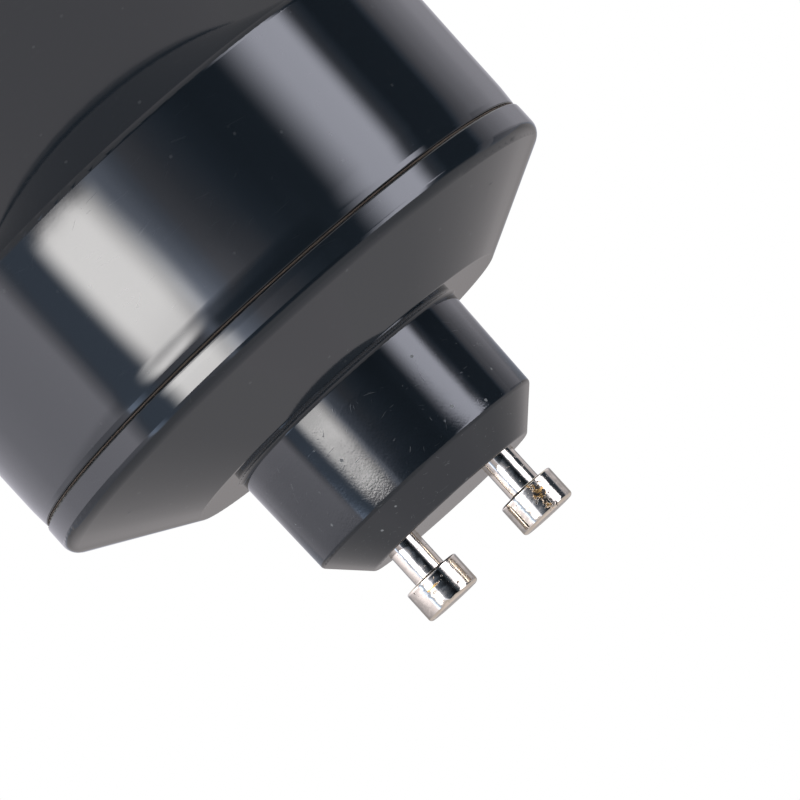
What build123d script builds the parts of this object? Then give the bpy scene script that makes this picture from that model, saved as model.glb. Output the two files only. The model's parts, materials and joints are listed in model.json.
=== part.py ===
from build123d import *
import os
from math import atan2, cos, radians, sin, sqrt, tan

# Reflector lamp with a twist-lock two-pin base, piece by piece.
# z = 0 is the face of the front ring, on which the lamp stands, and +Z is the lamp's axis, towards the
# contact pins. The pins lie along X. Sizes are millimetres.

# Overall
overall_length = 72.8
rim_dia = 111.0
fit = 0.15                    # clearance of snapped and slipped-in pieces
seam_gap = 0.2                # visible line between two covers
seam_edge = 0.15              # rounding of both covers' edges at it
lip_blend = 20.0              # rounding where both covers start to draw in towards it
seat = 0.05                   # play of what is trapped between two pieces

# Contact pins
pin_spacing = 10.0
pin_reach = 5.9               # from the neck's end face to the pins' ends
pin_head_dia = 5.0
pin_head_height = 2.85
pin_shaft_dia = 2.9
pin_edge = 0.3
pin_flange_dia = 4.8
pin_flange_height = 0.8
pin_tail_dia = 2.0
pin_tail_length = 3.2
pin_hole_clearance = 0.04

# Rear cap
neck_tip_dia = 21.9
neck_base_dia = 22.3
neck_height = 12.2            # from the flat ring to the end face
neck_bevel = 2.95
neck_edge = 0.5
neck_root = 0.35
ring_dia = 30.9
cap_proud = 0.05              # how far the cap stands out past the can
cap_lip = 0.5                 # height above the seam over which the cap draws in a little
cap_lip_drop = 0.012
cap_height = 19.8             # from the seam to the end face
cap_band = 2.7                # straight wall above the seam
cap_shoulder = 1.2
cap_wall = 1.8
end_wall = 2.4
cap_spigot_depth = 4.0
cap_spigot_wall = 1.5
snap_bead = 0.3
snap_groove = 0.45

# Housing
can_dia = 49.6                # at its mouth
can_draft = 0.2               # how much further out its root is
can_height = 15.4
can_lip = 1.3                 # height below the seam over which the can draws in a little
can_lip_drop = 0.12
can_wall = 2.1
can_root_fillet = 0.6
rim_band = 5.3                # from the rim's edge to where dish and rim would meet unrounded
housing_wall = 2.0
rim_round = 7.5
rim_inner_round = 3.0
boss_count = 3
boss_dia = 6.0
boss_height = 6.0
boss_bite = 0.5               # how far a boss stands in the can's wall
clamp_post_dia = 4.0
seat_rib_count = 12
seat_rib_width = 1.6
seat_rib_reach = 1.4

# Front ring and lens
front_ring_height = 5.3
front_ring_wall = 1.6
front_ring_lip = 1.6
front_ring_edge = 1.2
front_face_width = 6.0
front_spigot_wall = 1.5
lens_thickness = 2.0
lens_edge = 0.3

# Reflector
reflector_flange = 3.7
reflector_throat_dia = 18.0
reflector_gauge = 1.0
facet_columns = 36
facet_rows = 7

# Heat sink
sink_gap = 0.25               # paste gap to the dish
sink_wall = 1.5
sink_rim_inset = 9.0          # from the lamp's rim to the heat sink's
platform_thickness = 3.0

# Screws
sink_screw_dia = 3.0
sink_screw_head_dia = 5.0
sink_screw_head_height = 1.8
sink_screw_length = 7.0
holder_screw_dia = 2.0
holder_screw_head_dia = 3.8
holder_screw_head_height = 1.2
holder_screw_length = 4.0
holder_screw_inset = 2.4      # from the holder's edge to the screw's middle
screw_clearance = 0.2         # radial, in a through hole
thread_clearance = 0.05       # radial, in a tapped hole
screw_slot_width = 0.8

# Light source and its holder
pad_thickness = 0.3
led_side = 19.0
led_thickness = 1.4
led_corner = 1.0
light_dia = 14.6
light_thickness = 0.5
light_dam = 0.7
holder_gap = 0.2              # to the heads of the heat sink's screws
holder_plate = 2.0
holder_depth = 3.0
holder_collar_wall = 1.2
holder_window_dia = 17.2
pocket_clearance = 0.2
screw_recess = 0.4
terminal_width = 7.0
terminal_length = 4.0
terminal_height = 2.55
insulator_gap = 0.4           # to the bosses
insulator_thickness = 0.5

# Leads
lead_dia = 1.2
lead_core_dia = 0.8
lead_stub = 1.8
led_lead_spacing = 3.2
led_lead_reach = 2.8          # from the holder's edge out to the lead
led_lead_bend = 1.8
pin_lead_bend = 5.0
pin_lead_shift = 3.5          # towards the front of the board, along -Y

# Driver board and what stands on it. A place is the piece's middle, from the lamp's axis. The others have
# an angle about the axis, and an inset from the board's edge to the piece's middle.
board_gap = 1.0               # to the can's bore
board_thickness = 1.6
leg_dia = 0.7
leg_bend = 0.8
bulk_capacitor_dia = 8.0
bulk_capacitor_height = 15.0
bulk_capacitor_place = (0.0, 4.6)
output_capacitor_dia = 8.0
output_capacitor_height = 10.5
output_capacitor_angle = 117.0
output_capacitor_inset = 6.4
film_capacitor_size = (7.5, 4.5, 9.0)
film_capacitor_angle = -55.0
film_capacitor_inset = 6.5
core_width = 13.0
core_height = 10.0
core_depth = 4.8
core_leg = 3.2
core_limb = 1.6
core_side = 2.6
bobbin_wall = 0.6
winding_thickness = 1.0
bobbin_foot = 0.6
transformer_angle = 180.0
transformer_inset = 8.9
choke_dia = 8.0
choke_height = 9.0
choke_waist_dia = 4.4
choke_flange = 1.2
choke_angle = -4.0
choke_inset = 8.1
bridge_size = (4.7, 3.9, 2.5)
bridge_angle = 238.0
bridge_inset = 6.4
bridge_lead_pitch = 2.6
bridge_lead_width = 0.6
resistor_body = (3.6, 7.0)    # diameter and length
resistor_span = 10.0
resistor_angle = 58.0
resistor_inset = 5.6
diode_body = (2.7, 4.4)
diode_span = 7.0
diode_place = (-0.5, -9.2)
varistor_dia = 7.2
varistor_thickness = 3.4
varistor_leg = 1.5
varistor_angle = 31.0
varistor_inset = 7.4
chip_size = (4.9, 3.9, 1.4)
chip_place = (0.5, -4.6)
chip_lead_pitch = 1.27
chip_lead_width = 0.4

# Heights that follow
end_face_z = overall_length - pin_reach
ring_z = end_face_z - neck_height
seam_z = end_face_z - cap_height
shoulder_z = seam_z + cap_band
dish_z = seam_z - can_height
rim_z = front_ring_height + seam_gap
lens_top_z = front_ring_lip + lens_thickness
flange_top_z = lens_top_z + reflector_gauge

# Radii that follow
rim_r = rim_dia / 2
window_r = rim_r - front_face_width
sink_rim_r = rim_r - sink_rim_inset
cap_r = can_dia / 2 + cap_proud
can_root_r = can_dia / 2 + can_draft
can_bore_r = can_dia / 2 - can_wall
front_spigot_r = rim_r - front_ring_wall - fit
front_spigot_bore_r = front_spigot_r - front_spigot_wall
lens_r = front_spigot_bore_r - fit
mouth_r = lens_r - reflector_flange
throat_r = reflector_throat_dia / 2
cap_spigot_r = can_bore_r - fit
cap_spigot_bore_r = cap_spigot_r - cap_spigot_wall
neck_bore_r = neck_tip_dia / 2 - cap_wall
board_r = can_bore_r - board_gap
boss_circle_r = can_bore_r + boss_bite - boss_dia / 2
insulator_r = boss_circle_r - boss_dia / 2 - insulator_gap
holder_r = boss_circle_r - sink_screw_head_dia / 2 - holder_gap
holder_screw_r = holder_r - holder_screw_inset
holder_collar_r = throat_r + holder_collar_wall
led_lead_r = holder_r + led_lead_reach

# Slopes that follow
dish_slope = atan2(dish_z - rim_z - rim_band, rim_r - can_root_r)
cap_slope = atan2(ring_z - shoulder_z, cap_r - ring_dia / 2)


def dish_height(radius, inset=0.0):
    """Height of the dish's cone at a radius, or of a surface that lies inset inside it"""
    return dish_z - (radius - can_root_r) * tan(dish_slope) - inset / cos(dish_slope)


def dish_radius(height, inset=0.0):
    """Radius at which the same surface has a height"""
    return can_root_r + (dish_z - inset / cos(dish_slope) - height) / tan(dish_slope)


def cap_cone_height(radius, inset=0.0):
    """Height of the cap's shallow cone at a radius, or of its inner surface"""
    return shoulder_z + (cap_r - radius) * tan(cap_slope) - inset / cos(cap_slope)


platform_z = dish_height(can_bore_r, housing_wall)
platform_under_z = platform_z - platform_thickness
board_z = platform_z + boss_height
board_top_z = board_z + board_thickness
pad_under_z = platform_under_z - pad_thickness
led_under_z = pad_under_z - led_thickness
holder_under_z = platform_under_z - holder_plate
collar_z = platform_under_z - holder_depth
pin_tail_z = end_face_z - end_wall - pin_flange_height - pin_tail_length


def turned(*corners):
    """A turned body: corners are (radius, height) or (radius, height, rounding)"""
    roundings = [corner[2] if len(corner) > 2 else 0 for corner in corners]
    outline = FilletPolyline(*[corner[:2] for corner in corners], radius=roundings, close=True)
    return revolve(Plane.XZ * make_face(outline), Axis.Z)


def rod(diameter, low_z, high_z, place=(0, 0)):
    """An upright cylinder between two heights"""
    return Pos(*place, low_z) * Cylinder(
        diameter / 2, high_z - low_z, align=(Align.CENTER, Align.CENTER, Align.MIN))


def block(size, low_z, place=(0, 0)):
    """A box that stands at a height"""
    return Pos(*place, low_z) * Box(*size, align=(Align.CENTER, Align.CENTER, Align.MIN))


def wire(points, diameter, bend):
    """A round wire along straight runs joined by arcs"""
    route = FilletPolyline(*points, radius=bend)
    return sweep(Plane(origin=route @ 0, z_dir=route % 0) * Circle(diameter / 2), path=route)


def around(count, radius, start=90):
    """Evenly spaced places on a circle about the lamp's axis"""
    return [Rot(0, 0, start + 360 * i / count) * Pos(radius, 0, 0) for i in range(count)]


def from_edge(angle, inset):
    """Place on the board at an angle about the axis and a distance in from the board's edge"""
    reach = board_r - inset
    return reach * cos(radians(angle)), reach * sin(radians(angle))


def on_board(piece, place):
    """Stand a piece that was made at the origin on the driver board"""
    return Pos(*place, board_top_z) * piece


def lamp_housing():
    """Dish and driver can in one moulding, open at the seam and at the front"""
    shell = turned(
        (can_dia / 2 - can_lip_drop, seam_z, seam_edge),
        (can_dia / 2, seam_z - can_lip, lip_blend),
        (can_root_r, dish_z, can_root_fillet),
        (rim_r, dish_height(rim_r), rim_round),
        (rim_r, rim_z),
        (front_spigot_r, rim_z),
        (front_spigot_r, front_ring_lip + seam_gap),
        (front_spigot_bore_r, front_ring_lip + seam_gap),
        (front_spigot_bore_r, dish_height(front_spigot_bore_r, housing_wall), rim_inner_round),
        (can_bore_r, platform_z),
        (can_bore_r, seam_z))
    shell += Pos(0, 0, (front_ring_lip + rim_z) / 2) * Torus(front_spigot_r, snap_bead)
    shell -= Pos(0, 0, seam_z - cap_spigot_depth / 2) * Torus(cap_spigot_r, snap_groove)
    boss = rod(boss_dia, platform_z, board_z)
    screw_hole = rod(sink_screw_dia + 2 * thread_clearance, platform_z,
                     platform_z + sink_screw_length - platform_thickness + 1)
    for place in around(boss_count, boss_circle_r):
        shell += place * boss
        shell -= place * screw_hole
    rib_inner_r = lens_r - seat_rib_reach
    rib_bottom_z = flange_top_z + seat
    rib_height = dish_height(rib_inner_r, housing_wall) + seat_rib_reach / 4 - rib_bottom_z
    rib_length = front_spigot_bore_r - rib_inner_r + front_spigot_wall / 2
    rib = block((rib_length, seat_rib_width, rib_height), rib_bottom_z)
    for place in around(seat_rib_count, rib_inner_r + rib_length / 2):
        shell += place * rib
    return shell


def rear_cap():
    """Cap with a shallow cone, a flat ring and the hollow neck, snapped in the can's mouth"""
    inner_ring_z = ring_z - cap_wall
    inner_ring_r = cap_r - (
        inner_ring_z - shoulder_z + cap_wall / cos(cap_slope)) / tan(cap_slope)
    end_r = neck_tip_dia / 2 - neck_bevel
    cap = turned(
        (cap_r - cap_lip_drop, seam_z + seam_gap, seam_edge),
        (cap_r, seam_z + seam_gap + cap_lip, lip_blend),
        (cap_r, shoulder_z, cap_shoulder),
        (ring_dia / 2, ring_z, neck_edge),
        (neck_base_dia / 2, ring_z, neck_root),
        (neck_tip_dia / 2, end_face_z - neck_bevel, neck_edge),
        (end_r, end_face_z, neck_edge),
        (0, end_face_z),
        (0, end_face_z - end_wall),
        (end_r, end_face_z - end_wall),
        (neck_bore_r, end_face_z - end_wall - (neck_bore_r - end_r)),
        (neck_bore_r, inner_ring_z),
        (inner_ring_r, inner_ring_z),
        (cap_spigot_bore_r, cap_cone_height(cap_spigot_bore_r, cap_wall)),
        (cap_spigot_bore_r, seam_z - cap_spigot_depth),
        (cap_spigot_r, seam_z - cap_spigot_depth),
        (cap_spigot_r, seam_z + seam_gap))
    cap += Pos(0, 0, seam_z - cap_spigot_depth / 2) * Torus(cap_spigot_r, snap_bead)
    post_circle_r = board_r - clamp_post_dia / 2
    post_top_z = cap_cone_height(post_circle_r, cap_wall / 2)
    for place in around(boss_count, post_circle_r):
        cap += place * rod(clamp_post_dia, board_top_z + seat, post_top_z)
    for side in (-1, 1):
        cap -= rod(pin_shaft_dia + 2 * pin_hole_clearance, end_face_z - end_wall, end_face_z,
                   (side * pin_spacing / 2, 0))
    return cap


def contact_pin(side):
    """Pin with its round head, a flange behind the end wall and a hollow tail for the lead"""
    wall_z = end_face_z - end_wall
    pin = turned(
        (0, overall_length),
        (pin_head_dia / 2, overall_length, pin_edge),
        (pin_head_dia / 2, overall_length - pin_head_height, pin_edge / 2),
        (pin_shaft_dia / 2, overall_length - pin_head_height),
        (pin_shaft_dia / 2, wall_z),
        (pin_flange_dia / 2, wall_z),
        (pin_flange_dia / 2, wall_z - pin_flange_height),
        (pin_tail_dia / 2, wall_z - pin_flange_height),
        (pin_tail_dia / 2, pin_tail_z),
        (lead_core_dia / 2 + thread_clearance, pin_tail_z),
        (lead_core_dia / 2 + thread_clearance, pin_tail_z + lead_stub + thread_clearance),
        (0, pin_tail_z + lead_stub + thread_clearance))
    return Pos(side * pin_spacing / 2, 0, 0) * pin


def pin_lead(side):
    """Lead from a pin's tail, past the bulk capacitor, to the driver board"""
    x = side * pin_spacing / 2
    drop = pin_tail_z - board_top_z
    points = [(x, 0, pin_tail_z), (x, 0, pin_tail_z - drop / 3),
              (x, -pin_lead_shift, board_top_z + drop / 3), (x, -pin_lead_shift, board_top_z)]
    core = rod(lead_core_dia, pin_tail_z, pin_tail_z + lead_stub, (x, 0))
    return wire(points, lead_dia, pin_lead_bend) + core


def led_lead(side):
    """Lead from the board's underside, through the platform, into the holder's terminal"""
    y = side * led_lead_spacing / 2
    terminal_z = platform_under_z - terminal_height / 2
    points = [(-led_lead_r, y, board_z), (-led_lead_r, y, terminal_z),
              (-holder_r + lead_stub, y, terminal_z)]
    return wire(points, lead_dia, led_lead_bend)


def driver_board():
    """Round circuit board, trapped between the housing's bosses and the cap's posts"""
    return rod(2 * board_r, board_z, board_top_z)


def radial_capacitor(diameter, height, place):
    """Electrolytic capacitor: a can with a crimped groove above its base and a scored top"""
    radius = diameter / 2
    can = turned(
        (0, 0), (radius, 0, 0.4), (radius, 1.4), (radius - 0.4, 1.8), (radius, 2.2),
        (radius, height, 0.5), (radius - 0.8, height), (radius - 0.9, height - 0.2),
        (0, height - 0.2))
    for angle in (0, 90):
        can -= Pos(0, 0, height - 0.2) * Rot(0, 0, angle) * Box(radius * 1.4, 0.25, 0.2)
    return on_board(can, place)


def film_capacitor():
    """Box capacitor with rounded edges and two small feet"""
    length, width, height = film_capacitor_size
    foot_height = 0.4
    case = block((length, width, height - foot_height), foot_height)
    case = fillet(case.edges().filter_by(Axis.Z) + case.edges().group_by(Axis.Z)[-1], 0.5)
    for side in (-1, 1):
        case += block((1.5, width - 1, foot_height), 0, (side * (length / 2 - 1.5), 0))
    return on_board(case, from_edge(film_capacitor_angle, film_capacitor_inset))


def transformer_frame(piece):
    """Stand a piece made about the transformer's middle on the board, its length along Y"""
    return on_board(Pos(0, 0, core_height / 2 + bobbin_foot) * Rot(0, 0, 90) * piece,
                    from_edge(transformer_angle, transformer_inset))


def transformer_window():
    """Length and height of each of the core's two windows"""
    return core_width - 2 * core_side, (core_height - core_leg) / 2 - core_limb


def transformer_core():
    """Ferrite core with two windows beside its middle leg"""
    window_length, window_height = transformer_window()
    core = Box(core_width, core_depth, core_height)
    for side in (-1, 1):
        window = Box(window_length, core_depth, window_height)
        core -= Pos(0, 0, side * (core_leg + window_height) / 2) * window
    return transformer_frame(core)


def bobbin_section(thickness):
    """Section across the middle leg, grown by a thickness all round"""
    grown = 2 * (thickness + thread_clearance)
    return core_depth + grown, core_leg + grown


def transformer_bobbin():
    """Bobbin: a tube round the middle leg, two flanges and two feet"""
    window_length, window_height = transformer_window()
    length = window_length - 2 * fit
    hole = Box(length, *bobbin_section(0))
    reach = winding_thickness + bobbin_wall + thread_clearance * 2
    bobbin = Box(length, *bobbin_section(bobbin_wall))
    for side in (-1, 1):
        flange = Box(bobbin_wall, *bobbin_section(reach))
        bobbin += Pos(side * (length - bobbin_wall) / 2, 0, 0) * flange
    bobbin -= hole
    depth, height = bobbin_section(reach)
    foot_width = (depth - core_depth) / 2 - fit
    foot_height = core_height / 2 + bobbin_foot - height / 2 + bobbin_wall
    foot_y = (depth - foot_width) / 2
    foot_z = -core_height / 2 - bobbin_foot + foot_height / 2
    for side in (-1, 1):
        for end in (-1, 1):
            foot = Box(2 * bobbin_wall, foot_width, foot_height)
            bobbin += Pos(end * (length / 2 - bobbin_wall), side * foot_y, foot_z) * foot
    return transformer_frame(bobbin)


def transformer_winding():
    """Taped winding between the bobbin's flanges"""
    window_length, window_height = transformer_window()
    length = window_length - 2 * fit - 4 * bobbin_wall - 2 * fit
    inner = bobbin_wall + thread_clearance
    winding = Box(length, *bobbin_section(inner + winding_thickness))
    winding = fillet(winding.edges().filter_by(Axis.X), 0.6)
    winding -= Box(length, *bobbin_section(inner))
    return transformer_frame(winding)


def filter_choke():
    """Drum core with a waist for its winding"""
    radius, waist = choke_dia / 2, choke_waist_dia / 2
    top = choke_height - choke_flange
    drum = turned(
        (0, 0), (radius, 0), (radius, choke_flange), (waist, choke_flange), (waist, top),
        (radius, top), (radius, choke_height), (0, choke_height))
    return on_board(drum, from_edge(choke_angle, choke_inset))


def choke_winding():
    """Copper winding that bulges a little in the drum's waist"""
    inner, outer = choke_waist_dia / 2 + thread_clearance, choke_dia / 2 - choke_flange / 2
    low, high = choke_flange + thread_clearance, choke_height - choke_flange - thread_clearance
    coil = turned((inner, low), (outer, low, 0.5), (outer, high, 0.5), (inner, high))
    return on_board(coil, from_edge(choke_angle, choke_inset))


def gull_wing_legs(size, count, pitch, width):
    """Rows of flat legs that step down from the long sides of a package"""
    length, depth, height = size
    legs = []
    for side in (-1, 1):
        for i in range(count):
            x = (i - (count - 1) / 2) * pitch
            foot = block((width, 0.9, 0.2), 0, (x, side * (depth / 2 + 0.7)))
            riser = block((width, 0.2, height / 2), 0, (x, side * (depth / 2 + 0.35)))
            shelf = block((width, 0.6, 0.2), height / 2 - 0.1, (x, side * (depth / 2 + 0.15)))
            legs.append(foot + riser + shelf)
    return legs


def leaded_package(size, count, pitch, width, place):
    """Moulded package with a bevelled body that stands on gull-wing legs"""
    length, depth, height = size
    body = block((length, depth, height - 0.1), 0.1)
    body = chamfer(body.edges().group_by(Axis.Z)[-1], 0.3)
    for leg in gull_wing_legs(size, count, pitch, width):
        body += leg
    return on_board(body, place)


def bridge_rectifier():
    """Four-legged rectifier package"""
    return leaded_package(bridge_size, 2, bridge_lead_pitch, bridge_lead_width,
                          from_edge(bridge_angle, bridge_inset))


def control_chip():
    """Eight-legged controller"""
    return leaded_package(chip_size, 4, chip_lead_pitch, chip_lead_width, chip_place)


def axial_part(body_size, span, place):
    """Round body that lies across the board on two bent legs"""
    diameter, length = body_size
    rise = diameter / 2 + leg_dia / 2
    points = [(-span / 2, 0, 0), (-span / 2, 0, rise), (span / 2, 0, rise), (span / 2, 0, 0)]
    legs = wire(points, leg_dia, leg_bend)
    body = turned((0, -length / 2), (diameter / 2, -length / 2, 0.5),
                  (diameter / 2, length / 2, 0.5), (0, length / 2))
    return on_board(legs + Pos(0, 0, rise) * Rot(0, 90, 0) * body, place)


def varistor():
    """Dipped disc on two straight legs"""
    radius = varistor_dia / 2
    disc = turned((0, -varistor_thickness / 2), (radius, -varistor_thickness / 2, 1),
                  (radius, varistor_thickness / 2, 1), (0, varistor_thickness / 2))
    piece = Pos(0, 0, varistor_leg + radius) * Rot(90, 0, 0) * disc
    for side in (-1, 1):
        piece += rod(leg_dia, 0, varistor_leg + radius, (side * radius / 2, 0))
    return on_board(piece, from_edge(varistor_angle, varistor_inset))


def insulating_disc():
    """Thin disc on the platform, inside the bosses"""
    return rod(2 * insulator_r, platform_z, platform_z + insulator_thickness)


def heat_sink():
    """Aluminium dish under the housing, with a flat platform for the light source"""
    inset = housing_wall + sink_gap
    sink = turned(
        (0, platform_z),
        (dish_radius(platform_z, inset), platform_z),
        (sink_rim_r, dish_height(sink_rim_r, inset)),
        (sink_rim_r, dish_height(sink_rim_r, inset + sink_wall)),
        (dish_radius(platform_under_z, inset + sink_wall), platform_under_z, 0.8),
        (0, platform_under_z))
    for place in around(boss_count, boss_circle_r):
        sink -= place * rod(sink_screw_dia + 2 * screw_clearance, platform_under_z, platform_z)
    for side in (-1, 1):
        sink -= rod(holder_screw_dia + 2 * thread_clearance, platform_under_z, platform_z,
                    (0, side * holder_screw_r))
        sink -= rod(lead_dia + 2 * screw_clearance, platform_under_z, platform_z,
                    (-led_lead_r, side * led_lead_spacing / 2))
    return sink


def screw(diameter, head_dia, head_height, length, seat_z):
    """Pan-head screw that points up from its seat, with a cross slot in its head"""
    piece = turned(
        (0, seat_z - head_height), (head_dia / 2, seat_z - head_height, head_height * 0.4),
        (head_dia / 2, seat_z), (diameter / 2, seat_z), (diameter / 2, seat_z + length, 0.3),
        (0, seat_z + length))
    for angle in (0, 90):
        slot = block((head_dia * 0.6, screw_slot_width, head_height / 2), seat_z - head_height)
        piece -= Rot(0, 0, angle) * slot
    return piece


def heat_sink_screws():
    """Screws through the platform into the housing's bosses"""
    piece = screw(sink_screw_dia, sink_screw_head_dia, sink_screw_head_height,
                  sink_screw_length, platform_under_z)
    return Compound(children=[place * piece for place in around(boss_count, boss_circle_r)])


def holder_screws():
    """Screws through the holder's plate into the platform"""
    piece = screw(holder_screw_dia, holder_screw_head_dia, holder_screw_head_height,
                  holder_screw_length, holder_under_z + screw_recess)
    return Compound(children=[
        Pos(0, side * holder_screw_r, 0) * piece for side in (-1, 1)])


def thermal_pad():
    """Soft pad between the light source and the platform"""
    return block((led_side, led_side, pad_thickness), pad_under_z)


def led_substrate():
    """Square chip-on-board substrate with the low dam round its light-emitting disc"""
    plate = block((led_side, led_side, led_thickness), led_under_z)
    plate = chamfer(plate.edges().filter_by(Axis.Z), led_corner)
    dam_z = led_under_z - light_thickness
    dam = rod(light_dia + 2 * light_dam, dam_z, led_under_z)
    dam -= rod(light_dia, dam_z, led_under_z)
    return plate + dam


def led_phosphor():
    """Yellow light-emitting disc inside the dam"""
    return rod(light_dia, led_under_z - light_thickness, led_under_z)


def led_holder():
    """Moulded ring that presses the light source on the platform, with two lead terminals"""
    light_window_r = holder_window_dia / 2
    holder = turned(
        (light_window_r, platform_under_z), (holder_r, platform_under_z),
        (holder_r, holder_under_z, 0.5), (holder_collar_r, holder_under_z),
        (holder_collar_r, collar_z), (throat_r, collar_z), (light_window_r, led_under_z))
    terminal_x = -holder_r + terminal_length / 2
    holder += block((terminal_length, terminal_width, terminal_height),
                    platform_under_z - terminal_height, (terminal_x, 0))
    pocket_side = led_side + 2 * pocket_clearance
    holder -= block((pocket_side, pocket_side, platform_under_z - led_under_z), led_under_z)
    for side in (-1, 1):
        place = (0, side * holder_screw_r)
        holder -= rod(holder_screw_dia + 2 * screw_clearance, holder_under_z, platform_under_z, place)
        holder -= rod(holder_screw_head_dia + 2 * screw_clearance, holder_under_z,
                      holder_under_z + screw_recess, place)
        terminal_z = platform_under_z - terminal_height / 2
        socket = Cylinder(lead_dia / 2 + thread_clearance, 2 * (lead_stub + thread_clearance))
        holder -= Pos(-holder_r, side * led_lead_spacing / 2, terminal_z) * Rot(0, 90, 0) * socket
    return holder


def reflector():
    """Spun reflector: parabolic outside, flat facets inside, and a flange that the lens carries"""
    depth = collar_z - lens_top_z
    focus = (mouth_r ** 2 - throat_r ** 2) / depth
    back_r = sqrt(throat_r ** 2 + focus * reflector_gauge)
    control = ((back_r + mouth_r) / 2, collar_z + back_r * (back_r - mouth_r) / focus)
    curve = Bezier((back_r, collar_z), control, (mouth_r, flange_top_z))
    base = Polyline((mouth_r, flange_top_z), (lens_r, flange_top_z), (lens_r, lens_top_z),
                    (0, lens_top_z), (0, collar_z), (back_r, collar_z))
    bowl = revolve(Plane.XZ * make_face([curve, *base.edges()]), Axis.Z)
    radii = [mouth_r + (throat_r - mouth_r) * i / facet_rows for i in range(facet_rows + 1)]
    rows = [(radius, collar_z - (radius ** 2 - throat_r ** 2) / focus) for radius in radii]
    rows = [(mouth_r, lens_top_z - 1)] + rows + [(throat_r, collar_z + 1)]
    sections = [Pos(0, 0, height) * RegularPolygon(radius, facet_columns) for radius, height in rows]
    return bowl - loft(sections, ruled=True)


def front_lens():
    """Clear disc that lies on the front ring's lip"""
    return turned((0, front_ring_lip), (lens_r, front_ring_lip, lens_edge),
                  (lens_r, lens_top_z, lens_edge), (0, lens_top_z))


def front_ring():
    """Ring snapped over the housing's spigot, with the lip that carries the lens"""
    wall_r = rim_r - front_ring_wall
    ring = turned(
        (window_r, 0, 0.4), (rim_r, 0, front_ring_edge), (rim_r, front_ring_height, 0.3),
        (wall_r, front_ring_height), (wall_r, front_ring_lip), (window_r, front_ring_lip))
    return ring - Pos(0, 0, (front_ring_lip + rim_z) / 2) * Torus(front_spigot_r, snap_groove)


pieces = {
    "lamp_housing": lamp_housing(),
    "rear_cap": rear_cap(),
    "contact_pin_left": contact_pin(-1),
    "contact_pin_right": contact_pin(1),
    "pin_lead_left": pin_lead(-1),
    "pin_lead_right": pin_lead(1),
    "driver_board": driver_board(),
    "bulk_capacitor": radial_capacitor(
        bulk_capacitor_dia, bulk_capacitor_height, bulk_capacitor_place),
    "output_capacitor": radial_capacitor(
        output_capacitor_dia, output_capacitor_height,
        from_edge(output_capacitor_angle, output_capacitor_inset)),
    "film_capacitor": film_capacitor(),
    "transformer_core": transformer_core(),
    "transformer_bobbin": transformer_bobbin(),
    "transformer_winding": transformer_winding(),
    "filter_choke": filter_choke(),
    "choke_winding": choke_winding(),
    "bridge_rectifier": bridge_rectifier(),
    "fusible_resistor": axial_part(
        resistor_body, resistor_span, from_edge(resistor_angle, resistor_inset)),
    "output_diode": axial_part(diode_body, diode_span, diode_place),
    "varistor": varistor(),
    "control_chip": control_chip(),
    "insulating_disc": insulating_disc(),
    "heat_sink": heat_sink(),
    "heat_sink_screws": heat_sink_screws(),
    "thermal_pad": thermal_pad(),
    "led_substrate": led_substrate(),
    "led_phosphor": led_phosphor(),
    "led_holder": led_holder(),
    "holder_screws": holder_screws(),
    "led_lead_positive": led_lead(1),
    "led_lead_negative": led_lead(-1),
    "reflector": reflector(),
    "front_lens": front_lens(),
    "front_ring": front_ring(),
}

os.makedirs("parts", exist_ok=True)
for node, piece in pieces.items():
    export_step(piece, f"parts/{node}.step")
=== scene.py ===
import json
from collections import namedtuple
from math import atan2, cos, degrees, pi, radians, sin

import bmesh
import bpy
from mathutils import Matrix, Vector, noise


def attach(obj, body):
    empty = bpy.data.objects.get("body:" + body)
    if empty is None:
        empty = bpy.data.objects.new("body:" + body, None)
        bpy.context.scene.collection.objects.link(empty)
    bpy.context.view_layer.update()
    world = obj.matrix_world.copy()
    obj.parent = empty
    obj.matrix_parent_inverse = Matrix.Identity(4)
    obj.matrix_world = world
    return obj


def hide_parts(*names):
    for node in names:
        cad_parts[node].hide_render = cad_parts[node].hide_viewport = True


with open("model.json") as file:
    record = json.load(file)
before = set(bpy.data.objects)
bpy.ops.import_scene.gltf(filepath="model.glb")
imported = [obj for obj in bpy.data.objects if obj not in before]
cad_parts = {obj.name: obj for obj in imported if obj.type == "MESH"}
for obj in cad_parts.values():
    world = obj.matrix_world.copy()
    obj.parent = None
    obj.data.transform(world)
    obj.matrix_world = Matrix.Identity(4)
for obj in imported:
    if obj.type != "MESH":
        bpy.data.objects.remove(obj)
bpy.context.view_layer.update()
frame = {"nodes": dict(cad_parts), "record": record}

nodes = frame["nodes"]
MM = 0.001


def mm(*lengths):
    """Lengths given in millimetres"""
    return tuple(length * MM for length in lengths)


# The camera that fits the photograph, in the part's frame
CAMERA_PLACE = Vector(mm(-2.4212, -422.6267, 90.5630))
CAMERA_FALL = 0.0764              # how far it looks down, in radians
CAMERA_ROLL = radians(47.695)
LENS = 243.0
SENSOR = 36.0
NEAREST_SEEN = 10 * MM

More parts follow.
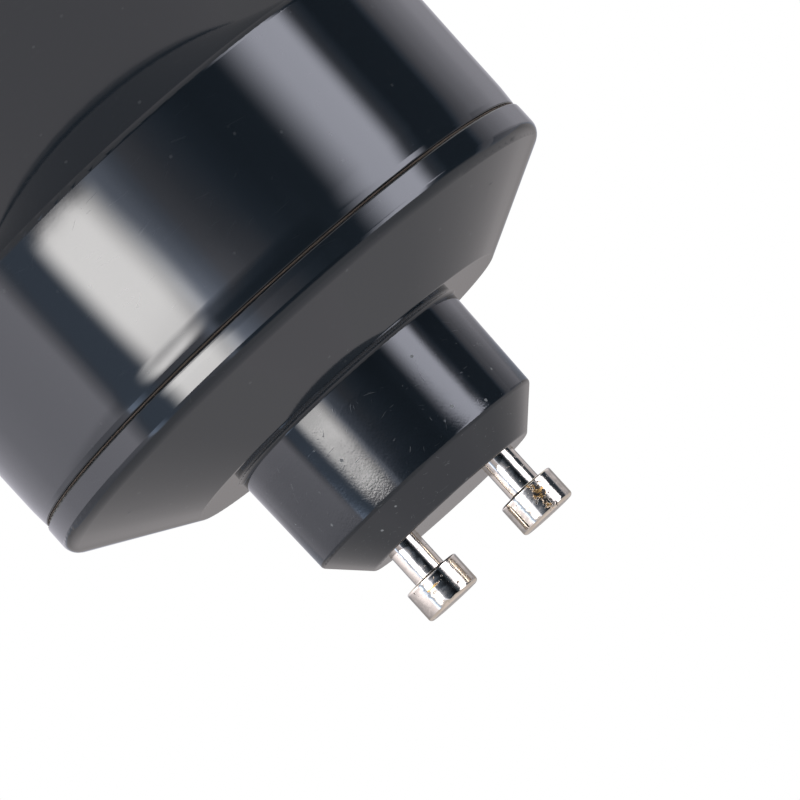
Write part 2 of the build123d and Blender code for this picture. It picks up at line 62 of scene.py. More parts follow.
# Contact pins, with the sizes of their solids
PIN_X = 5 * MM
HEAD_TOP, HEAD_HEIGHT, HEAD_R = mm(72.8, 2.85, 2.5)
HEAD_FOOT_ROUND, HEAD_END_ROUND = mm(0.15, 0.3)
HEAD_HOLLOW = 0.03 * MM           # how much lower the end face lies within its edge
SHAFT_R, SHAFT_ROOT = mm(1.45, 0.12)
FLANGE_TOP, FLANGE_Z, FLANGE_R = mm(64.5, 63.7, 2.4)
TAIL_Z, TAIL_BORE_Z, TAIL_R, TAIL_BORE_R = mm(60.5, 62.35, 1.0, 0.45)
PIN_AROUND, SHAFT_STEPS, HEAD_STEPS, END_STEPS = 192, 40, 24, 8
SHARP_EDGE = radians(50)
PLATING_DEPTH = 0.006 * MM
PLATING_WAVES = [(900, 0.6), (2300, 0.35), (5200, 0.14)]      # waves per metre, and share of the depth
# Dents in the right pin's head: middle, reach and depth
DENTS = [(mm(5.5, -2.45, 72.8), 0.5 * MM, 0.12 * MM), (mm(4.6, -2.45, 72.8), 0.35 * MM, 0.05 * MM)]
DENT_AIM = HEAD_TOP - MM          # height on the pin's axis that the dents point to

# Dust in the line between the housing and its cap
SEAM_R, SEAM_Z, SEAM_WIDTH = mm(24.66, 47.2, 0.2)
SEAM_AROUND, SEAM_SIDES = 360, 8
SEAM_SWELL, SEAM_WAVES, SEAM_SHEAR = 0.25, 14, 0.2
SEAM_SHARE_OUT, SEAM_SHARE_UP = 0.5, 0.45
GRIME, DARK_GRIME = (0.085, 0.06, 0.042), (0.04, 0.03, 0.024)

# Black plastic, with the scale and detail of its noise
PLASTIC = (0.008, 0.0115, 0.016)
RIPPLE, FINE, TURNING = (60.0, 2.0), (2600.0, 2.0), (3200.0, 4.0)
FROST, HAZE, SMEAR = (6200.0, 3.0), (420.0, 3.0), (130.0, 5.0)
DUST_GREY = (0.16, 0.17, 0.18)
NECK_R = 11 * MM
NECK_FROM = 55.5 * MM             # height above which hands and sockets leave their marks
OFF_NECK = 0.12                   # how strong the marks are below it
# Marks and hairlines: turn in radians, stretch, scale, width and share of the surface
MARKS = [(0.5, 4.0, 1300.0, 0.016, 0.36), (-1.1, 5.0, 1500.0, 0.016, 0.36), (1.5, 5.0, 1500.0, 0.014, 0.35)]
HAIRS = [(1.2, 9.0, 2600.0, 0.05, 0.55), (-0.9, 9.0, 2400.0, 0.05, 0.55)]
PATCH_FINER, PATCH_EDGE = 1.7, 0.04
# Dust: scale, size and share of the cells that have a grain
DUST = [(1500.0, 0.15, 0.02), (1000.0, 0.12, 0.012)]
GRAIN_EDGE, SHARE_EDGE = 1.6, 0.005
HAZE_SPAN, HAZE_STRENGTH = (0.4, 0.64), (0.45, 1.0)
SMEAR_SPAN, SMEAR_ROUGHNESS = (0.35, 0.75), (0.04, 0.07)
MARK_ROUGHNESS, HAZE_ROUGHNESS, DUST_ROUGHNESS = 0.3, 0.02, 0.8
MARK_SHADE = 0.35                 # how much of the dust's grey a mark has
HAIR_DEPTH = -0.12
TURNING_STRETCH = (0.16, 0.16, 1)
NICK = (mm(1.26, -7.9, 66.8), 0.35 * MM)                      # middle and reach, in the end face's edge
PLASTIC_RELIEF = {"ripple": 2.0, "marks": 1.0, "fine": 0.12, "turning": 0.5, "frost": 2.1, "nick": -30.0}
PLASTIC_BUMP = (0.2, 0.006 * MM)                              # strength and depth

# Nickel plating, with the scale, detail and roughness of its noise
NICKEL, BRASS, PIT = (0.7, 0.635, 0.55), (0.55, 0.33, 0.12), (0.05, 0.045, 0.04)
BLOTCHES, FLAKES, PITS = (900.0, 4.0), (1500.0, 8.0, 0.7), (2400.0, 5.0, 0.6)
# Places on the pins' heads that are worn through to brass: middle, reach and flatness
LEFT_PIN_WEAR = (mm(-5.7, -2.4, 71.2), 1.1 * MM, 0.6)
RIGHT_PIN_WEAR = (mm(5.6, -2.4, 70.93), 1.3 * MM, 8.0)
WEAR_GAIN, WEAR_EDGE = 0.3, (0.665, 0.685)
PIT_GAIN, PIT_EDGE = 0.2, (0.66, 0.68)
NICKEL_SPAN, NICKEL_ROUGHNESS = (0.35, 0.7), (0.04, 0.14)
WORN_ROUGHNESS, PIT_ROUGHNESS = 0.3, 0.45
WORN_DROP = -1.5                  # how far worn and pitted places lie below the plating
NICKEL_BUMP = (0.5, 0.015 * MM)

# Other materials: two colours each, between which blotches vary
BRIGHT_ALUMINIUM = ((0.88, 0.88, 0.89), (0.84, 0.85, 0.86))
PLAIN_ALUMINIUM = ((0.62, 0.63, 0.64), (0.55, 0.56, 0.57))
DARKER = 0.8                      # the second colour's share of the first, where only one is given
BLOTCH_DETAIL, FINE_DETAIL, FINER = 4.0, 2.0, 8
BLOTCH_SPAN = (0.3, 0.7)
LEAST_ROUGHNESS = 0.02
GRAIN_BUMP = (0.15, 0.05 * MM)

# Floor, world and lights
FLOOR_RADIUS = 200 * MM
FLOOR_FADE = mm(110, 190)
FLOOR_DROP = 0.1 * MM
FLOOR_WHITE = (0.93, 0.93, 0.93)
WORLD_DIFFUSE = (0.6, 0.6, 0.6)
ZENITH = (0.84, 0.78, 0.79)
WHITE = (1, 1, 1)
LIGHT_AIM = Vector((0, 0, 0.03))
# Place, size and power of each light
LIGHTS = {"key": ((0.35, -0.45, 0.75), 0.35, 4.0), "fill": ((-0.6, -0.1, 0.55), 0.5, 1.5)}

# The wall that only reflections see
SURROUND_RADIUS = 410 * MM
SURROUND_COLUMNS = 360
SURROUND_ROWS = [
    *range(-160, -20, 10), *range(-20, -2), *range(-2, 44, 3), *range(44, 62, 2), *range(62, 240, 10),
    *range(240, 761, 40)]
EYE_LEVEL = 50 * MM
# Pale set round the lamp, by angle in degrees from the camera's side towards +X. 1 is white.
PALE_SET = [
    (-180, 0.7), (-156, 0.5), (-139, 0.93), (-128, 0.95), (-119, 0.85), (-111, 0.5), (-105, 0.05),
    (-86, 0.05), (-79, 0.4), (-70, 0.1), (-26, 0.05), (-18, 0.12), (-5, 0.38), (4, 0.7), (8, 1.0), (13, 1.7),
    (17, 1.9), (24, 0.9), (50, 0.7), (63, 0.66), (67, 1.6), (71, 2.7), (97, 1.83), (120, 1.13), (142, 0.88),
    (162, 0.75), (180, 0.7)]
# In the pairs of angles and heights below, a change begins at the first and ends at the second
SET_TOP = mm(130, 230)
BACK_ANGLES, BACK_TOP = (120, 145), mm(20, 60)                # behind the lamp the set is lower
SIDE_ANGLES = (-115, 64)          # past these the set is dimmer high up
SIDE_DIM, SIDE_HEIGHTS = 0.25, [mm(28, 38), mm(48, 56)]
# What is above the set, by elevation from the eye's level
UPPER_SET = [(-90, 0.35), (5, 0.35), (10, 0.5), (16, 0.62), (25, 0.65), (50, 0.67), (60, 0.8), (90, 0.8)]
# All of it leans towards +X with height, up to LEAN_TOP and near LEAN_MIDDLE
LEAN, LEAN_TOP = 45.0, 60 * MM    # degrees per metre of height
LEAN_MIDDLE, LEAN_REACH = -23, (84, 90)
# The set's edge beside the left box draws in at the height of the neck's end, and the right box turns away
CORNER_TURN, CORNER_ANGLES, CORNER_HEIGHTS = 12.0, (20, 45), mm(43, 55)
RIGHT_BEND, BEND_RISE, BEND_FALL = 8.0, mm(48, 55), mm(58, 66)
# The gap between the boxes is brighter at the left box's middle and dimmer above it
GAP = ((-35, -30), (16, 22))
SPILL, SPILL_RISE, SPILL_FALL = 0.8, mm(-4, 13), mm(17, 34)
SPILL_LOSS = [(0.5, mm(30, 42)), (0.35, mm(44, 52))]
# Soft boxes, left and right as in the photograph: level, then where two sides and two ends fade
Box = namedtuple("Box", "level begin end low high")
LEFT_BOX = Box(14.2, (14.5, 29.5), (43, 53.5), mm(-13.8, -10.2), mm(46.5, 53.5))
RIGHT_BOX = Box(6.4, (-79.5, -70), (-61, -40.5), mm(-65, -55), mm(160, 200))
# The left box narrows by so many degrees per mm above its waist, on its near side and its far side
WAIST_Z, NEAR_TAPER, FAR_TAPER = 41 * MM, 0.25, 0.55
# Below FOOT_END its near side stands out, and its far side is drawn in and slopes, in degrees and per mm
FOOT_END, FOOT_OUT, FOOT_RISE = mm(20, 30), 2.2, mm(-6, 2)
FOOT_IN, FOOT_SLOPE, SLOPE_HEIGHTS = 1.1, 0.15, mm(-5, 15)
# It is dimmer at the heights that the can's top end and the rounding above it mirror
TOP_DIM, TOP_RISE, TOP_FALL = 0.16, mm(5, 13), mm(20, 32)
LIP_DIM, LIP_RISE, LIP_FALL = 0.5, mm(20, 34), mm(36, 47)
# Tints of the boxes, of the set where it is pale and where it is dark, and of what is above
WARM, COOL, VIOLET, BLUE = (1.02, 1.0, 0.98), (0.95, 0.96, 1.09), (0.98, 0.96, 1.06), (0.72, 0.95, 1.33)
COVER = (1.03, 0.97, 0.97)
DARK_LEVELS = (0.05, 0.5)
BLUE_SIDES = [(0.8, (42, 50), (60, 67)), (0.45, (2, 8), (18, 24))]    # bluer also beside the left box


def table_value(table, x):
    """Straight-line value of a table of pairs"""
    for (x0, y0), (x1, y1) in zip(table, table[1:]):
        if x0 <= x <= x1:
            return y0 + (y1 - y0) * (x - x0) / (x1 - x0)
    return table[-1][1]


def smooth(low, high, x):
    """0 below low, 1 above high, smooth between"""
    t = min(max((x - low) / (high - low), 0.0), 1.0)
    return t * t * (3 - 2 * t)


def hump(rise, fall, x):
    """0 before rise, 1 between rise and fall, 0 after fall, smooth within each"""
    return smooth(*rise, x) * (1 - smooth(*fall, x))


def graph(material):
    """A material's or world's emptied node tree"""
    material.use_nodes = True
    material.node_tree.nodes.clear()
    return material.node_tree


def add(tree, kind, **settings):
    """A node; settings name its sockets by number (in_3=...) or its own properties"""
    node = tree.nodes.new("ShaderNode" + kind)
    for key, value in settings.items():
        if key.startswith("in_"):
            socket = node.inputs[int(key[3:])]
            if isinstance(value, bpy.types.NodeSocket):
                tree.links.new(value, socket)
            else:
                socket.default_value = value
        else:
            setattr(node, key, value)
    return node


def link(tree, out, node, name):
    """Link an output to a node's socket by name"""
    tree.links.new(out, node.inputs[name])


def principled(name, colour, roughness, metallic=0.0, **sockets):
    """A Principled material and its tree and shader"""
    material = bpy.data.materials.new(name)
    tree = graph(material)
    shader = add(tree, "BsdfPrincipled")
    out = add(tree, "OutputMaterial")
    tree.links.new(shader.outputs[0], out.inputs[0])
    shader.inputs["Base Color"].default_value = (*colour, 1)
    shader.inputs["Roughness"].default_value = roughness
    shader.inputs["Metallic"].default_value = metallic
    for key, value in sockets.items():
        shader.inputs[key.replace("_", " ")].default_value = value
    return material, tree, shader


def fold(tree, operation, values):
    """One output from several, joined by the same operation"""
    result = values[0]
    for value in values[1:]:
        result = add(tree, "Math", operation=operation, in_0=result, in_1=value).outputs[0]
    return result


def times(tree, *values):
    """Product of outputs or numbers"""
    return fold(tree, "MULTIPLY", values)


def plus(tree, *values):
    """Sum of outputs or numbers"""
    return fold(tree, "ADD", values)


def most(tree, *values):
    """Largest of some outputs"""
    return fold(tree, "MAXIMUM", values)


def total(tree, layers):
    """Sum of outputs, each times its share"""
    result = 0.0
    for layer, share in layers:
        result = add(tree, "Math", operation="MULTIPLY_ADD", in_0=layer, in_1=share, in_2=result).outputs[0]
    return result


def ramp(tree, value, low, high, start=0.0, end=1.0):
    """start where a value is below low, end where it is above high, straight between"""
    return add(tree, "MapRange", in_0=value, in_1=low, in_2=high, in_3=start, in_4=end).outputs[0]


def cloud(tree, place, scale, detail, roughness=0.5):
    """Noise from 0 to 1, mostly near 0.5"""
    return add(tree, "TexNoise", in_0=place, in_2=scale, in_3=detail, in_4=roughness).outputs[0]


def mixed(tree, share, first, second):
    """A colour between two, each given as a colour or as an output"""
    ends = [end if isinstance(end, bpy.types.NodeSocket) else (*end, 1) for end in (first, second)]
    return add(tree, "Mix", data_type="RGBA", in_0=share, in_6=ends[0], in_7=ends[1]).outputs[2]


def raise_surface(tree, shader, height, strength, depth):
    """Bump of a height on a shader"""
    bump = add(tree, "Bump")
    bump.inputs["Strength"].default_value = strength
    bump.inputs["Distance"].default_value = depth
    link(tree, height, bump, "Height")
    link(tree, bump.outputs[0], shader, "Normal")


def near(tree, place, centre, reach, flat=1.0):
    """1 at a point, falling to 0 at a distance from it; flat squeezes the patch along Z"""
    squeezed = add(tree, "VectorMath", operation="MULTIPLY", in_0=place, in_1=(1, 1, flat))
    gap = add(tree, "VectorMath", operation="DISTANCE", in_0=squeezed.outputs[0],
              in_1=(centre[0], centre[1], centre[2] * flat))
    return ramp(tree, gap.outputs["Value"], 0.0, reach, 1.0, 0.0)


def wrapped_place(tree, place, radius):
    """Coordinates that run round the lamp's axis, radially and along it, so marks follow its turned walls"""
    part = add(tree, "SeparateXYZ", in_0=place)
    angle = add(tree, "Math", operation="ARCTAN2", in_0=part.outputs[1], in_1=part.outputs[0])
    flat = add(tree, "CombineXYZ", in_0=part.outputs[0], in_1=part.outputs[1])
    reach = add(tree, "VectorMath", operation="LENGTH", in_0=flat.outputs[0])
    run = times(tree, angle.outputs[0], radius)
    return add(tree, "CombineXYZ", in_0=run, in_1=reach.outputs["Value"], in_2=part.outputs[2]).outputs[0]


def scratches(tree, place, turn, stretch, scale, width, share):
    """Thin marks at an angle: the narrow middle band of a stretched noise, in scattered patches"""
    mapped = add(tree, "Mapping", vector_type="TEXTURE", in_0=place)
    mapped.inputs["Rotation"].default_value = (0, turn, 0)
    mapped.inputs["Scale"].default_value = (1, 1, stretch)
    lines = cloud(tree, mapped.outputs[0], scale, 1.0)
    off_middle = add(tree, "Math", operation="SUBTRACT", in_0=lines, in_1=0.5)
    distance = add(tree, "Math", operation="ABSOLUTE", in_0=off_middle.outputs[0])
    thin = ramp(tree, distance.outputs[0], 0.0, width, 1.0, 0.0)
    patch = cloud(tree, mapped.outputs[0], scale * PATCH_FINER, 2.0)
    return times(tree, thin, ramp(tree, patch, 1 - share, 1 - share + PATCH_EDGE))


def specks(tree, place, scale, size, share):
    """Scattered dust grains"""
    cells = add(tree, "TexVoronoi", in_0=place)
    cells.inputs["Scale"].default_value = scale
    dot = ramp(tree, cells.outputs["Distance"], size, size * GRAIN_EDGE, 1.0, 0.0)
    part = add(tree, "SeparateColor", in_0=cells.outputs["Color"])
    return times(tree, dot, ramp(tree, part.outputs[0], 1 - share, 1 - share + SHARE_EDGE))


def grain(name, colour, other, roughness, spread=0.08, scale=400, metallic=0.0):
    """A material with blotches between two colours, uneven roughness and a fine bump"""
    material, tree, shader = principled(name, colour, roughness, metallic)
    place = add(tree, "TexCoord").outputs["Object"]
    blotch = cloud(tree, place, scale, BLOTCH_DETAIL)
    fine = cloud(tree, place, scale * FINER, FINE_DETAIL)
    rough = ramp(tree, blotch, *BLOTCH_SPAN, max(roughness - spread, LEAST_ROUGHNESS), roughness + spread)
    link(tree, mixed(tree, blotch, colour, other), shader, "Base Color")
    link(tree, rough, shader, "Roughness")
    raise_surface(tree, shader, fine, *GRAIN_BUMP)
    return material


def black_plastic():
    """Glossy black moulding with a faint ripple, smears, and fine marks, haze and dust mostly on the neck"""
    material, tree, shader = principled("black_plastic", PLASTIC, 0.05, IOR=1.5)
    place = add(tree, "TexCoord").outputs["Object"]
    wrapped = wrapped_place(tree, place, NECK_R)
    height = add(tree, "SeparateXYZ", in_0=place).outputs[2]
    on_neck = ramp(tree, height, NECK_FROM, NECK_FROM + MM, OFF_NECK, 1.0)
    marks = times(tree, most(tree, *[scratches(tree, wrapped, *mark) for mark in MARKS]), on_neck)
    hairs = most(tree, *[scratches(tree, wrapped, *hair) for hair in HAIRS])
    dust = times(tree, most(tree, *[specks(tree, place, *kind) for kind in DUST]), on_neck)
    haze = ramp(tree, cloud(tree, place, *HAZE), *HAZE_SPAN, *HAZE_STRENGTH)
    haze = times(tree, haze, on_neck, on_neck)
    smear = ramp(tree, cloud(tree, place, *SMEAR), *SMEAR_SPAN, *SMEAR_ROUGHNESS)
    rough = most(tree, smear, times(tree, marks, MARK_ROUGHNESS))
    rough = plus(tree, rough, times(tree, haze, HAZE_ROUGHNESS))
    link(tree, most(tree, rough, times(tree, dust, DUST_ROUGHNESS)), shader, "Roughness")
    shown = most(tree, times(tree, marks, MARK_SHADE), dust)
    link(tree, mixed(tree, shown, PLASTIC, DUST_GREY), shader, "Base Color")
    turned = add(tree, "Mapping", in_0=wrapped)
    turned.inputs["Scale"].default_value = TURNING_STRETCH
    frost = plus(tree, cloud(tree, place, *FROST), times(tree, hairs, HAIR_DEPTH))
    layers = {
        "ripple": cloud(tree, place, *RIPPLE),
        "marks": marks,
        "fine": cloud(tree, place, *FINE),
        "turning": times(tree, cloud(tree, turned.outputs[0], *TURNING), on_neck),
        "frost": times(tree, frost, haze),
        "nick": near(tree, place, *NICK),
    }
    relief = total(tree, [(layer, PLASTIC_RELIEF[name]) for name, layer in layers.items()])
    raise_surface(tree, shader, relief, *PLASTIC_BUMP)
    return material


def nickel():
    """Bright warm plating with pits, worn through to brass where a socket's contacts rub"""
    material, tree, shader = principled("nickel_plate", NICKEL, 0.06, 1.0)
    place = add(tree, "TexCoord").outputs["Object"]
    blotch = cloud(tree, place, *BLOTCHES)
    patch = near(tree, place, *LEFT_PIN_WEAR)
    spots = most(tree, patch, near(tree, place, *RIGHT_PIN_WEAR))
    flakes = plus(tree, cloud(tree, place, *FLAKES), times(tree, spots, WEAR_GAIN))
    worn = ramp(tree, flakes, *WEAR_EDGE)
    pits = plus(tree, cloud(tree, place, *PITS), times(tree, patch, PIT_GAIN))
    pitted = ramp(tree, pits, *PIT_EDGE)
    link(tree, mixed(tree, pitted, mixed(tree, worn, NICKEL, BRASS), PIT), shader, "Base Color")
    rough = most(tree, ramp(tree, blotch, *NICKEL_SPAN, *NICKEL_ROUGHNESS),
                 times(tree, worn, WORN_ROUGHNESS), times(tree, pitted, PIT_ROUGHNESS))
    link(tree, rough, shader, "Roughness")
    relief = total(tree, [(blotch, 1.0), (worn, WORN_DROP), (pitted, WORN_DROP)])
    raise_surface(tree, shader, relief, *NICKEL_BUMP)
    return material


def clear_lens():
    """Clear plastic of the front lens"""
    return principled("clear_lens", WHITE, 0.02, Transmission_Weight=1.0, IOR=1.49)[0]


MATERIALS = {
    "black_plastic": black_plastic(),
    "nickel_plate": nickel(),
    "clear_lens": clear_lens(),
    "bright_aluminium": grain("bright_aluminium", *BRIGHT_ALUMINIUM, 0.12, spread=0.04, metallic=1.0),
    "plain_aluminium": grain("plain_aluminium", *PLAIN_ALUMINIUM, 0.35, metallic=1.0),
}


def dress_nodes():
    """Materials of every solid, by the record's slots"""
    slots = {part["node"]: part["material_slot"] for part in frame["record"]["subparts"]}
    colours = {item["slot"]: item["base_color"][:3] for item in frame["record"]["materials"]}
    for name, obj in nodes.items():
        slot = slots[name]
        if slot not in MATERIALS:
            colour = colours[slot]
            MATERIALS[slot] = grain(slot, colour, [DARKER * part for part in colour], 0.4)
        obj.data.materials.clear()
        obj.data.materials.append(MATERIALS[slot])


def make_piece(form, name, material):
    """A smooth-shaded object from a bmesh"""
    bmesh.ops.recalc_face_normals(form, faces=form.faces)
    mesh = bpy.data.meshes.new(name)
    form.to_mesh(mesh)
    form.free()
    mesh.polygons.foreach_set("use_smooth", [True] * len(mesh.polygons))
    mesh.materials.append(material)
    piece = bpy.data.objects.new(name, mesh)
    bpy.context.scene.collection.objects.link(piece)
    return piece


def arc(radius, height, size, start, sweep=90, steps=6):
    """Points of a quarter round about a centre"""
    turns = [radians(start + sweep * i / steps) for i in range(steps + 1)]
    return [(radius + size * cos(turn), height + size * sin(turn)) for turn in turns]


def straight(radius, low, high, steps):
    """Points up a wall, without its two ends"""
    return [(radius, low + (high - low) * i / steps) for i in range(1, steps)]


def pin_profile():
    """Radius and height along a contact pin, from its hollow tail to the middle of its head's end face"""
    low = HEAD_TOP - HEAD_HEIGHT
    foot, end = HEAD_FOOT_ROUND, HEAD_END_ROUND
    points = [(0.0, TAIL_BORE_Z), (TAIL_BORE_R, TAIL_BORE_Z), (TAIL_BORE_R, TAIL_Z), (TAIL_R, TAIL_Z),
              (TAIL_R, FLANGE_Z), (FLANGE_R, FLANGE_Z), (FLANGE_R, FLANGE_TOP), (SHAFT_R, FLANGE_TOP)]
    points += straight(SHAFT_R, FLANGE_TOP, low, SHAFT_STEPS)
    points += arc(SHAFT_R + SHAFT_ROOT, low - SHAFT_ROOT, SHAFT_ROOT, 180, sweep=-90)
    points += arc(HEAD_R - foot, low + foot, foot, -90)
    points += straight(HEAD_R, low + foot, HEAD_TOP - end, HEAD_STEPS)
    points += arc(HEAD_R - end, HEAD_TOP - end, end, 0, steps=END_STEPS)
    points += [((HEAD_R - end) * (1 - i / END_STEPS), HEAD_TOP - HEAD_HOLLOW * smooth(0, 3, i))
               for i in range(1, END_STEPS + 1)]
    return points


def pin_point(x, radius, height, turn, dents):
    """A point of a pin's surface, with the plating's ripple and the head's dents"""
    outward = Vector((cos(turn), sin(turn), 0))
    point = Vector((x, 0, height)) + outward * radius
    ripple = sum(noise.noise(point * waves) * share for waves, share in PLATING_WAVES)
    point += outward * ripple * PLATING_DEPTH * smooth(FLANGE_TOP, FLANGE_TOP + MM, height)
    for centre, reach, depth in dents:
        away = (point - Vector(centre)).length
        inward = (Vector((x, 0, DENT_AIM)) - point).normalized()
        point += inward * depth * (1 - smooth(0, reach, away))
    return point


def contact_pin(name, x, dents):
    """Turned pin with the fine ripple of its plating and a few dents"""
    form, rings = bmesh.new(), []
    turns = [2 * pi * i / PIN_AROUND for i in range(PIN_AROUND)]
    for radius, height in pin_profile():
        if radius == 0:
            rings.append([form.verts.new((x, 0, height))])
        else:
            rings.append([form.verts.new(pin_point(x, radius, height, turn, dents)) for turn in turns])
    for low, high in zip(rings, rings[1:]):
        for i in range(PIN_AROUND):
            j = (i + 1) % PIN_AROUND
            if len(low) == 1:
                form.faces.new((low[0], high[j], high[i]))
            elif len(high) == 1:
                form.faces.new((low[i], low[j], high[0]))
            else:
                form.faces.new((low[i], low[j], high[j], high[i]))
    pin = make_piece(form, name + "_worn", MATERIALS["nickel_plate"])
    pin.data.set_sharp_from_angle(angle=SHARP_EDGE)
    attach(pin, "root")
    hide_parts(name)


def seam_grime():
    """Brownish dust that has settled in the line between the housing and its cap"""
    form, rings = bmesh.new(), []
    for i in range(SEAM_AROUND):
        turn = 2 * pi * i / SEAM_AROUND
        ring = []
        for j in range(SEAM_SIDES):
            across = 2 * pi * j / SEAM_SIDES
            wave = noise.noise(Vector((cos(turn), sin(turn), SEAM_SHEAR * j)) * SEAM_WAVES)
            half = SEAM_SHARE_OUT * SEAM_WIDTH * (1 + SEAM_SWELL * wave)
            reach = SEAM_R - SEAM_WIDTH + half + half * cos(across)
            height = SEAM_Z + SEAM_SHARE_UP * SEAM_WIDTH * sin(across)
            ring.append(form.verts.new((reach * cos(turn), reach * sin(turn), height)))
        rings.append(ring)
    for low, high in zip(rings, rings[1:] + rings[:1]):
        for j in range(SEAM_SIDES):
            k = (j + 1) % SEAM_SIDES
            form.faces.new((low[j], high[j], high[k], low[k]))
    piece = make_piece(form, "seam_grime", grain("seam_grime", GRIME, DARK_GRIME, 0.85, scale=700))
    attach(piece, "root")


def make_camera():
    """The photograph's camera: it looks almost level at the lamp and is turned about its own axis"""
    right = Vector((1, 0, 0))
    up = Vector((0, sin(CAMERA_FALL), cos(CAMERA_FALL)))
    back = Vector((0, -cos(CAMERA_FALL), sin(CAMERA_FALL)))
    across = -sin(CAMERA_ROLL) * right + cos(CAMERA_ROLL) * up
    upward = -cos(CAMERA_ROLL) * right - sin(CAMERA_ROLL) * up
    data = bpy.data.cameras.new("photo_camera")
    data.lens = LENS
    data.sensor_width = SENSOR
    data.clip_start = NEAREST_SEEN
    camera = bpy.data.objects.new("photo_camera", data)
    turn = Matrix((across, upward, back)).transposed().to_4x4()
    camera.matrix_world = Matrix.Translation(CAMERA_PLACE) @ turn
    bpy.context.scene.collection.objects.link(camera)
    bpy.context.scene.camera = camera


def make_world():
    """White where the camera looks past the lamp; what lights the lamp evenly is dimmer"""
    world = bpy.data.worlds.new("studio")
    bpy.context.scene.world = world
    tree = graph(world)
    path = add(tree, "LightPath")
    reflected = mixed(tree, path.outputs["Is Glossy Ray"], WORLD_DIFFUSE, ZENITH)
    seen = most(tree, path.outputs["Is Camera Ray"], path.outputs["Is Transmission Ray"])
    background = add(tree, "Background", in_0=mixed(tree, seen, reflected, WHITE))
    out = add(tree, "OutputWorld")
    tree.links.new(background.outputs[0], out.inputs[0])


def box_level(box, angle, z):
    """Radiance that a soft box adds at an angle and a height"""
    return box.level * hump(box.begin, box.end, angle) * hump(box.low, box.high, z)


def left_box_level(angle, z):
    """Radiance of the left box, which narrows above its waist and is wider and slopes at its foot"""
    above_waist = max(z - WAIST_Z, 0) / MM
    above_foot = (min(max(z, SLOPE_HEIGHTS[0]), SLOPE_HEIGHTS[1]) - SLOPE_HEIGHTS[0]) / MM
    foot = 1 - smooth(*FOOT_END, z)
    near_shift = NEAR_TAPER * above_waist - FOOT_OUT * foot * smooth(*FOOT_RISE, z)
    far_shift = FAR_TAPER * above_waist + (FOOT_IN + FOOT_SLOPE * above_foot) * foot
    shape = LEFT_BOX._replace(begin=[edge + near_shift for edge in LEFT_BOX.begin],
                              end=[edge - far_shift for edge in LEFT_BOX.end])
    dim = TOP_DIM * hump(TOP_RISE, TOP_FALL, z) + LIP_DIM * hump(LIP_RISE, LIP_FALL, z)
    return box_level(shape, angle, z) * (1 - dim)


def set_level(angle, turned, z):
    """Radiance of the pale set at an angle, at the angle that it leans to and at a height"""
    corner = CORNER_TURN * smooth(*CORNER_ANGLES, angle) * smooth(*CORNER_HEIGHTS, z)
    level = table_value(PALE_SET, min(turned + corner, 180))
    if angle < SIDE_ANGLES[0] or angle > SIDE_ANGLES[1]:
        level *= 1 - SIDE_DIM * sum(smooth(*heights, z) for heights in SIDE_HEIGHTS)
    return level


def spill(angle, z):
    """How many times brighter the gap between the boxes is at a height than the tables say"""
    gain = SPILL * hump(SPILL_RISE, SPILL_FALL, z)
    loss = sum(share * smooth(*heights, z) for share, heights in SPILL_LOSS)
    return 1 + (gain - loss) * hump(*GAP, angle)


def share_above(angle, z):
    """0 at the height of the set and 1 above it"""
    back = smooth(*BACK_ANGLES, abs(angle))
    low, high = [front + (behind - front) * back for front, behind in zip(SET_TOP, BACK_TOP)]
    return smooth(low, high, z)


def surround_colour(angle, z):
    """Radiance of the surroundings at an angle and a height"""
    lean = LEAN * min(z, LEAN_TOP) * (1 - smooth(*LEAN_REACH, abs(angle - LEAN_MIDDLE)))
    turned = angle - lean
    spilled, above = spill(angle, z), share_above(angle, z)
    level = set_level(angle, turned, z) * spilled * (1 - above)
    upper = table_value(UPPER_SET, degrees(atan2(z - EYE_LEVEL, SURROUND_RADIUS))) * above
    blue_sides = [share * hump(rise, fall, turned) for share, rise, fall in BLUE_SIDES]
    dark = max(1 - smooth(*DARK_LEVELS, level), *blue_sides)
    left = spilled * left_box_level(turned, z)
    right = box_level(RIGHT_BOX, turned + RIGHT_BEND * hump(BEND_RISE, BEND_FALL, z), z)
    return [level * (violet + (blue - violet) * dark) + upper * cover + left * warm + right * cool
            for violet, blue, cover, warm, cool in zip(VIOLET, BLUE, COVER, WARM, COOL)] + [1.0]


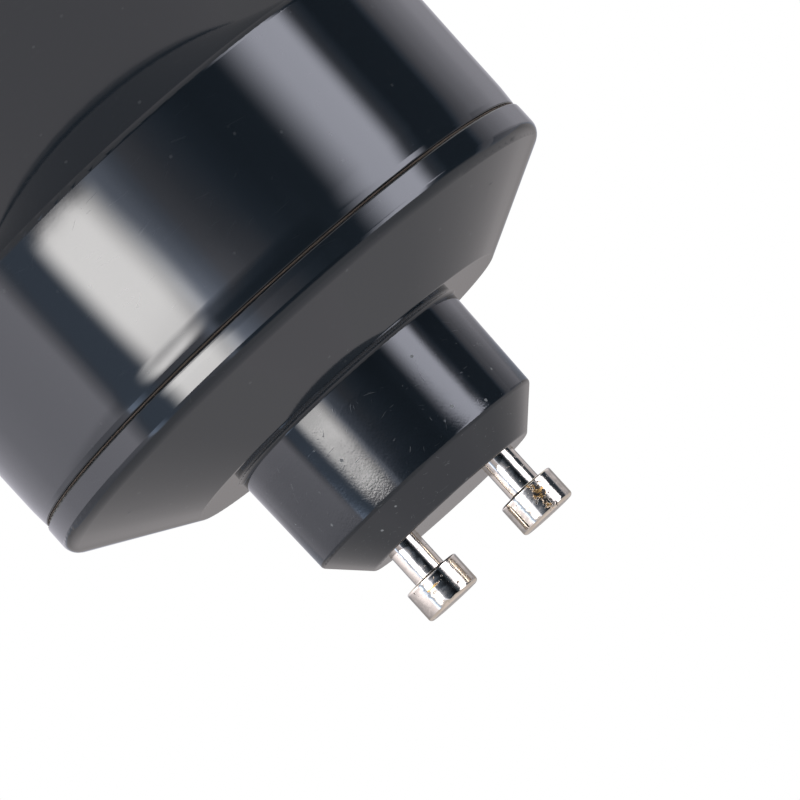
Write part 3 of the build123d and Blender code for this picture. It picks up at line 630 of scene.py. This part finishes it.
def make_surround():
    """Wall of soft boxes and dark gaps that only reflections see"""
    rows = len(SURROUND_ROWS)
    vertices, colours, faces = [], [], []
    for i in range(SURROUND_COLUMNS):
        angle = -180 + 360 * i / SURROUND_COLUMNS
        x, y = SURROUND_RADIUS * sin(radians(angle)), -SURROUND_RADIUS * cos(radians(angle))
        for z in mm(*SURROUND_ROWS):
            vertices.append((x, y, z))
            colours.extend(surround_colour(angle, z))
        for j in range(rows - 1):
            a, b = i * rows + j, (i + 1) % SURROUND_COLUMNS * rows + j
            faces.append((a, b, b + 1, a + 1))
    mesh = bpy.data.meshes.new("surround")
    mesh.from_pydata(vertices, [], faces)
    mesh.attributes.new("glow", "FLOAT_COLOR", "POINT").data.foreach_set("color", colours)
    material = bpy.data.materials.new("surround")
    tree = graph(material)
    glow = add(tree, "Attribute", attribute_name="glow")
    light = add(tree, "Emission", in_0=glow.outputs["Color"])
    out = add(tree, "OutputMaterial")
    tree.links.new(light.outputs[0], out.inputs[0])
    mesh.materials.append(material)
    wall = bpy.data.objects.new("surround", mesh)
    wall.visible_camera = False
    wall.visible_diffuse = False
    wall.visible_shadow = False
    wall.visible_transmission = False
    wall.visible_volume_scatter = False
    bpy.context.scene.collection.objects.link(wall)


def make_floor():
    """Pale disc that keeps the lamp's shadow and fades into the white around it"""
    mesh = bpy.data.meshes.new("floor")
    form = bmesh.new()
    bmesh.ops.create_circle(form, cap_ends=True, segments=128, radius=FLOOR_RADIUS)
    form.to_mesh(mesh)
    form.free()
    material, tree, shader = principled("floor", FLOOR_WHITE, 0.9, Specular_IOR_Level=0.0)
    place = add(tree, "TexCoord").outputs["Object"]
    reach = add(tree, "VectorMath", operation="LENGTH", in_0=place)
    fade = add(tree, "MapRange", interpolation_type="SMOOTHSTEP", in_0=reach.outputs["Value"],
               in_1=FLOOR_FADE[0], in_2=FLOOR_FADE[1])
    clear = add(tree, "BsdfTransparent")
    mix = add(tree, "MixShader", in_0=fade.outputs[0], in_1=shader.outputs[0], in_2=clear.outputs[0])
    out = next(node for node in tree.nodes if node.type == "OUTPUT_MATERIAL")
    tree.links.new(mix.outputs[0], out.inputs[0])
    mesh.materials.append(material)
    floor = bpy.data.objects.new("floor", mesh)
    floor.location.z = -FLOOR_DROP
    bpy.context.scene.collection.objects.link(floor)


def make_light(name, place, size, power):
    """Soft area light that reflections don't see"""
    data = bpy.data.lights.new(name, "AREA")
    data.shape = "DISK"
    data.size = size
    data.energy = power
    light = bpy.data.objects.new(name, data)
    light.location = place
    light.rotation_euler = (LIGHT_AIM - Vector(place)).to_track_quat("-Z", "Y").to_euler()
    light.visible_glossy = False
    bpy.context.scene.collection.objects.link(light)


dress_nodes()
contact_pin("contact_pin_left", -PIN_X, [])
contact_pin("contact_pin_right", PIN_X, DENTS)
seam_grime()
make_camera()
make_world()
make_surround()
make_floor()
for light_name, light_values in LIGHTS.items():
    make_light(light_name, *light_values)

bpy.context.scene.view_settings.view_transform = "Standard"
bpy.context.view_layer.update()
